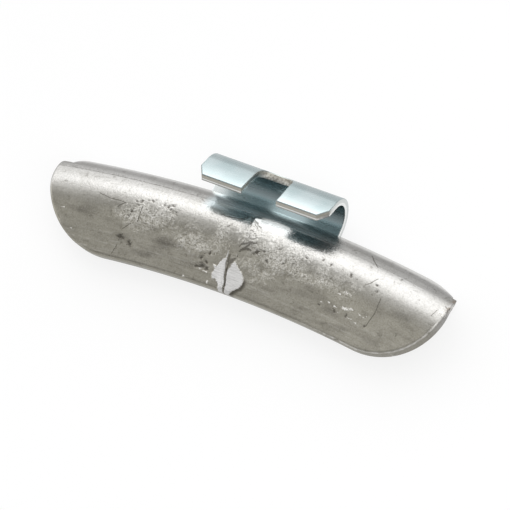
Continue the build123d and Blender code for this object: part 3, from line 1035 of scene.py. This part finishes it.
class Strip:
    """Clip before it is bent: X across the strip, Y along it and Z into the sheet from its outer side."""

    tab_steps = 50
    slot_steps = 41
    tail_rows = 16
    hook_rows = 40
    slot_rows = 14
    lip_rows = 36
    cut_rows = 20

    def __init__(self, sizes):
        self.sizes = sizes
        self.tail = sizes.hook_rise - sizes.hook_radius + sizes.tail_depth
        self.total = self.tail + sizes.hook_radius * sizes.hook_turn + sizes.lip_length
        quarter = math.pi / 2 + math.asin(sizes.slot_past_top / sizes.hook_radius)
        self.slot_end = self.tail + sizes.hook_radius * quarter

    def pattern(self, edge_break):
        """Points (across, way) and faces with slot and cut corners, the edges moved in by edge_break."""
        sizes = self.sizes
        side = sizes.clip_width / 2 - edge_break
        slot = sizes.slot_width / 2 + edge_break
        corner = sizes.slot_corner_radius
        closed = self.slot_end - edge_break
        end = self.total - edge_break
        before = closed - corner
        past = closed + corner
        tab = np.linspace(0, 1, self.tab_steps)
        middle = slot * np.sin(np.linspace(-1, 1, self.slot_steps) * math.pi / 2)
        columns = np.concatenate([-side + (side - slot) * tab[:-1], middle, slot + (side - slot) * tab[1:]])
        slot_first = self.tab_steps - 1
        slot_last = slot_first + self.slot_steps
        rows = np.concatenate([
            np.linspace(edge_break, self.tail, self.tail_rows)[:-1],
            np.linspace(self.tail, before, self.hook_rows)[:-1],
            np.linspace(before, past, self.slot_rows),
        ])
        inside = np.clip(np.abs(middle) - slot + corner, 0, corner)
        middle_end = closed + corner - np.sqrt(corner**2 - inside**2)
        ways = np.repeat(rows[:, None], len(columns), axis=1)
        round_slot = rows > before
        share = (rows[round_slot, None] - before) / (past - before)
        ways[round_slot, slot_first:slot_last] = before + (middle_end - before) * share
        points = np.stack([np.broadcast_to(columns, ways.shape).ravel(), ways.ravel()], axis=1)
        index = np.arange(ways.size).reshape(ways.shape)
        faces = quads(index)
        cut_start = end - sizes.lip_corner_up
        upper = np.concatenate([
            np.linspace(past, cut_start, self.lip_rows)[1:], np.linspace(cut_start, end, self.cut_rows)[1:],
        ])
        cut = np.clip((upper - cut_start) / sizes.lip_corner_up, 0, 1) * sizes.lip_corner_along
        left_row = index[-1, : slot_first + 1][::-1]
        right_row = index[-1, slot_last - 1 :]
        for sign, edge_row in ((-1, left_row), (1, right_row)):
            across = sign * (slot + (side - cut[:, None] - slot) * tab)
            start = len(points)
            ways = np.broadcast_to(upper[:, None], across.shape)
            points = np.concatenate([points, np.stack([across.ravel(), ways.ravel()], axis=1)])
            block = np.arange(start, len(points)).reshape(across.shape)
            block = np.concatenate([edge_row[None, :], block])
            faces += quads(block if sign > 0 else block[:, ::-1])
        return points, faces

    def edge_profile(self):
        """Sheared edge from the outer side in: depth, outward reach, bare and burnished shares."""
        edge = self.sizes.edge_break
        sheet = self.sizes.sheet
        return (
            (0.25 * edge, 0.66 * edge, 0.0, 0.0), (edge, edge, 0.6, 0.0), (1.4 * edge, edge, 1.0, 0.0),
            (0.58 * sheet, edge, 1.0, 0.0), (0.62 * sheet, edge, 0.0, 1.0),
            (sheet - 0.6 * edge, edge, 0.0, 1.0), (sheet - 0.15 * edge, 0.66 * edge, 0.0, 0.6),
        )

    def bare_places(self, ring):
        """Where an edge is bare of plate, at the lip's end and in the slot, and the part in the slot."""
        sizes = self.sizes
        across, way = ring.T
        at_lip = smooth((way - self.total) / sizes.lip_corner_up, -1.6, -0.9)
        in_slot = np.abs(across) < sizes.slot_width / 2 + 2 * sizes.edge_break
        at_slot = in_slot * smooth(way, self.slot_end + 1.5 * sizes.slot_corner_radius, self.slot_end)
        at_slot *= smooth(way, 0, self.tail)
        return np.maximum(at_lip, at_slot), at_slot

    def mesh(self):
        """Points, faces and masks of the flat clip: both sides of the sheet and its sheared edges."""
        sizes = self.sizes
        flat, faces = self.pattern(sizes.edge_break)
        count = len(flat)
        none = np.zeros(count)
        past_bend = np.maximum(flat[:, 1] - (self.total - sizes.lip_length), 0) / sizes.lip_length
        points = [np.column_stack([flat, none]), np.column_stack([flat, none + sizes.sheet])]
        masks = {
            "sheared": [none, none], "burnished": [none, none], "slot": [none, none],
            "lip": [past_bend, none], "inner": [none, none + 1],
        }
        walls = []
        total = 2 * count
        for loop in open_loops(faces):
            ring = flat[loop]
            ahead = np.roll(ring, -1, axis=0) - np.roll(ring, 1, axis=0)
            ahead /= np.linalg.norm(ahead, axis=1)[:, None]
            outward = np.stack([ahead[:, 1], -ahead[:, 0]], axis=1)
            bare_edge, at_slot = self.bare_places(ring)
            none = np.zeros(len(loop))
            previous = np.array(loop)
            for deep, out, bare, bright in self.edge_profile():
                points.append(np.column_stack([ring + outward * out, none + deep]))
                smoothed = np.maximum(bright, 0.55 * bare * (1 - bare_edge))
                on_edge = {
                    "sheared": np.maximum(bare * (0.3 + 0.7 * bare_edge), 0.8 * (bare + bright) * at_slot),
                    "burnished": smoothed * (1 - 0.85 * at_slot),
                    "slot": at_slot * max(bare, bright),
                }
                for key, mask in masks.items():
                    mask.append(on_edge.get(key, none))
                current = np.arange(total, total + len(loop))
                total += len(loop)
                walls += band(previous, current)
                previous = current
            walls += band(previous, np.array(loop) + count)
        faces += [[point + count for point in face[::-1]] for face in faces] + walls
        return np.concatenate(points), faces, {key: np.concatenate(mask) for key, mask in masks.items()}

    def bend_values(self):
        """Sizes that the bending node group takes."""
        sizes = self.sizes
        return {
            "Tail": self.tail, "Hook radius": sizes.hook_radius, "Hook turn": sizes.hook_turn,
            "Centre height": sizes.hook_rise - sizes.hook_radius,
            "Centre above back": sizes.clip_back + sizes.hook_radius,
            "Offset": sizes.clip_offset, "Askew": sizes.clip_turn, "Ridge top": RIDGE_TOP,
        }


def bend_group(names, material):
    """Geometry node group that bends the flat strip round the hook and sets it askew over the ridge."""
    group = bpy.data.node_groups.new("bend_strip", "GeometryNodeTree")
    for direction in ("INPUT", "OUTPUT"):
        group.interface.new_socket("Geometry", in_out=direction, socket_type="NodeSocketGeometry")
    identifiers = {
        name: group.interface.new_socket(name, in_out="INPUT", socket_type="NodeSocketFloat").identifier
        for name in names
    }
    tree = Tree(group)
    given = tree.node("NodeGroupInput")
    flat = tree.apart(tree.node("GeometryNodeInputPosition")[0])
    past_tail = flat["Y"] - given["Tail"]
    bend = given["Hook radius"] * given["Hook turn"]
    turned = (past_tail / given["Hook radius"]).larger(0).smaller(given["Hook turn"]) - math.pi / 2
    straight = past_tail.smaller(0) + (past_tail - bend).larger(0)
    radius = given["Hook radius"] - flat["Z"]
    height = given["Centre height"] + radius * turned.cos() - straight * turned.sin()
    above = given["Centre above back"] + radius * turned.sin() + straight * turned.cos()
    along = given["Offset"] + flat["X"] * given["Askew"].cos() - height * given["Askew"].sin()
    height = given["Ridge top"] + flat["X"] * given["Askew"].sin() + height * given["Askew"].cos()
    place = tree.combined(along, height, above)
    bent = tree.node("GeometryNodeSetPosition", None, {"Geometry": given["Geometry"], "Position": place})[0]
    bent = tree.node("GeometryNodeRealizeInstances", None, {"Geometry": bent})[0]
    bent = tree.node("GeometryNodeSetMaterial", None, {"Geometry": bent, "Material": material})[0]
    tree.node("NodeGroupOutput", None, {"Geometry": bent})
    return group, identifiers


def bend_mesh(made, strip, material):
    """Bend a flat strip's mesh in place."""
    values = strip.bend_values()
    group, identifiers = bend_group(values, material)
    modifier = made.modifiers.new("bend", "NODES")
    modifier.node_group = group
    for name, value in values.items():
        modifier[identifiers[name]] = value
    evaluated = made.evaluated_get(bpy.context.evaluated_depsgraph_get())
    bent = bpy.data.meshes.new_from_object(evaluated)
    made.modifiers.clear()
    made.data = bent


def face_outwards(made):
    """Turn every closed part of a piece's mesh right side out."""
    work = bmesh.new()
    work.from_mesh(made.data)
    bmesh.ops.recalc_face_normals(work, faces=work.faces)
    work.to_mesh(made.data)
    work.free()


class WEIGHT_OT_cast_lead(Operator):
    """Make the lead casting with its seam, gate scar and flaws"""

    bl_idname = "weight.cast_lead"
    bl_label = "Cast lead body"
    sharp_degrees = 38

    def execute(self, context):
        settings = context.scene.weight
        casting = Casting(settings.lead, settings.clip.clip_offset)
        points, faces, masks = RimSide(casting).mesh()
        back_points, back_faces = BackHalf(casting).mesh()
        faces += [[point + len(points) for point in face] for face in back_faces]
        rest = np.zeros(len(back_points))
        back_radial = casting.radial(back_points[:, 0], back_points[:, 1])
        near_clip = casting.near_clip(back_points[:, 0], back_radial)
        back_masks = {"radial": back_radial / MM, "near_clip": near_clip}
        masks = {key: np.concatenate([mask, back_masks.get(key, rest)]) for key, mask in masks.items()}
        points = np.concatenate([points, back_points])
        lead = CastLead(settings.finish).made()
        made = mesh_object("cast_lead_body", points, faces, lead, self.sharp_degrees, masks)
        face_outwards(made)
        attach(made, "root")
        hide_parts("lead_weight")
        return {"FINISHED"}


class WEIGHT_OT_bend_clip(Operator):
    """Make the plated clip with its slot, cut corners and sheared edges"""

    bl_idname = "weight.bend_clip"
    bl_label = "Bend rim clip"
    sharp_degrees = 40

    def execute(self, context):
        settings = context.scene.weight
        strip = Strip(settings.clip)
        points, faces, masks = strip.mesh()
        plate = zinc_finish(settings.finish)
        made = mesh_object("plated_rim_clip", points, faces, plate, self.sharp_degrees, masks, flat=True)
        bend_mesh(made, strip, plate)
        face_outwards(made)
        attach(made, "root")
        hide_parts("rim_clip")
        return {"FINISHED"}


class WEIGHT_OT_set_stage(Operator):
    """Make the floor, lamp, surroundings and camera"""

    bl_idname = "weight.set_stage"
    bl_label = "Set stage"
    floor_half = 1.5
    lamp_place = (0.55, -0.10, 0.65)
    lamp_side = 0.90
    panel_side = (0.054, 0.705, 0.708)
    panel_edge = (0.80, 0.876)
    window_side = (-0.914, 0.395, 0.094)
    window_falloff = 4.6
    window_cap = 0.6
    front_depth = (-0.3, -0.8)
    front_height = (0.5, 0.2)

    def execute(self, context):
        settings = context.scene.weight
        self.lay_floor(settings.finish)
        self.hang_lamp(settings.view)
        self.light_world(context.scene, settings.view)
        self.place_camera(context.scene, settings.view)
        context.scene.view_settings.view_transform = "Standard"
        return {"FINISHED"}

    def lay_floor(self, finish):
        """Plain floor, partly white by itself as it is seen."""
        shader = Shader("pale_floor")
        sockets = {"Base Color": (*finish.floor, 1.0), "Roughness": 0.9, "Specular IOR Level": 0.1}
        plain = shader.node("ShaderNodeBsdfPrincipled", None, sockets)["BSDF"]
        white = shader.node("ShaderNodeEmission", None, {"Color": (1.0, 1.0, 1.0, 1.0), "Strength": 1.0})[0]
        path = shader.node("ShaderNodeLightPath")
        seen = path["Is Camera Ray"].larger(path["Is Glossy Ray"]).larger(path["Is Transmission Ray"])
        sockets = {0: seen * finish.floor_glow, 1: plain, 2: white}
        surface = shader.node("ShaderNodeMixShader", None, sockets)[0]
        shader.node("ShaderNodeOutputMaterial", None, {"Surface": surface})
        half = self.floor_half
        corners = ((-half, -half), (half, -half), (half, half), (-half, half))
        points = [(x, y - RIDGE_TOP, 0) for x, y in corners]
        floor = mesh_object("floor", points, [[0, 1, 2, 3]], shader.material)

    def hang_lamp(self, view):
        """Soft square lamp over the right end, aimed at the origin."""
        data = bpy.data.lights.new("top_lamp", "AREA")
        data.shape = "SQUARE"
        data.size = self.lamp_side
        data.energy = view.top_power
        lamp = bpy.data.objects.new("top_lamp", data)
        lamp.location = self.lamp_place
        lamp.rotation_euler = (-Vector(self.lamp_place)).to_track_quat("-Z", "Y").to_euler()
        bpy.context.collection.objects.link(lamp)

    def light_world(self, scene, view):
        """Soft panel behind the ridge, wide window glow on the left, low glow in front, dim elsewhere."""
        world = bpy.data.worlds.new("studio")
        world.use_nodes = True
        tree = Tree(world.node_tree)
        towards = tree.node("ShaderNodeTexCoord")["Generated"]
        panel = tree.dot(towards, Vector(self.panel_side).normalized()).ramp(*self.panel_edge)
        facing = 0.5 + 0.5 * tree.dot(towards, Vector(self.window_side).normalized())
        window = (facing**self.window_falloff).smaller(self.window_cap)
        apart = tree.apart(towards)
        front = apart["Y"].ramp(*self.front_depth) * apart["Z"].ramp(*self.front_height)
        level = view.dim_light + view.panel_light * panel + view.window_light * window
        level = level + view.front_light * front
        background = tree.node("ShaderNodeBackground", None, {"Color": level})["Background"]
        tree.node("ShaderNodeOutputWorld", None, {"Surface": background})
        scene.world = world

    def place_camera(self, scene, view):
        """Camera by azimuth, elevation and turn, aimed so that the ridge's middle falls on its pixel."""
        flat = math.cos(view.elevation)
        aside = math.sin(view.azimuth)
        away = math.cos(view.azimuth)
        back = Vector((flat * aside, -flat * away, math.sin(view.elevation)))
        level = (Vector((1, 0, 0)) - back * back.x).normalized()
        raised = back.cross(level)
        right = level * math.cos(view.picture_turn) + raised * math.sin(view.picture_turn)
        up = raised * math.cos(view.picture_turn) - level * math.sin(view.picture_turn)
        focal = view.pixels_per_mm * view.distance / MM
        to_right = (PICTURE_SIDE / 2 - view.ridge_column) / focal
        below = (PICTURE_SIDE / 2 - view.ridge_row) / focal
        ahead = (right * to_right - up * below - back).normalized()
        side = ahead.cross(up).normalized()
        camera = bpy.data.objects.new("camera", bpy.data.cameras.new("camera"))
        camera.data.sensor_width = SENSOR_WIDTH
        camera.data.lens = focal / PICTURE_SIDE * SENSOR_WIDTH
        camera.data.clip_start = 10 * MM
        camera.rotation_mode = "QUATERNION"
        camera.rotation_quaternion = Matrix((side, side.cross(ahead), -ahead)).transposed().to_quaternion()
        camera.location = Vector((0, RIDGE_TOP, 0)) + back * view.distance
        bpy.context.collection.objects.link(camera)
        scene.camera = camera


class WEIGHT_PT_panel(Panel):
    """Lists the pieces of the weight and their settings"""

    bl_idname = "WEIGHT_PT_panel"
    bl_label = "Wheel balance weight"
    bl_space_type = "VIEW_3D"
    bl_region_type = "UI"
    bl_category = "Weight"

    def draw(self, context):
        settings = context.scene.weight
        pieces = (
            (WEIGHT_OT_cast_lead, settings.lead), (WEIGHT_OT_bend_clip, settings.clip),
            (WEIGHT_OT_set_stage, settings.view),
        )
        for operator, group in pieces:
            box = self.layout.box()
            box.operator(operator.bl_idname)
            for key in group.__annotations__:
                box.prop(group, key)
        box = self.layout.box()
        for key in settings.finish.__annotations__:
            box.prop(settings.finish, key)


CLASSES = (
    LeadSizes, ClipSizes, Finish, View, WeightSettings,
    WEIGHT_OT_cast_lead, WEIGHT_OT_bend_clip, WEIGHT_OT_set_stage, WEIGHT_PT_panel,
)


def register():
    for kind in CLASSES:
        bpy.utils.register_class(kind)
    bpy.types.Scene.weight = PointerProperty(type=WeightSettings)


def unregister():
    del bpy.types.Scene.weight
    for kind in reversed(CLASSES):
        bpy.utils.unregister_class(kind)


def main():
    register()
    bpy.ops.weight.cast_lead()
    bpy.ops.weight.bend_clip()
    bpy.ops.weight.set_stage()


if __name__ == "__main__":
    main()
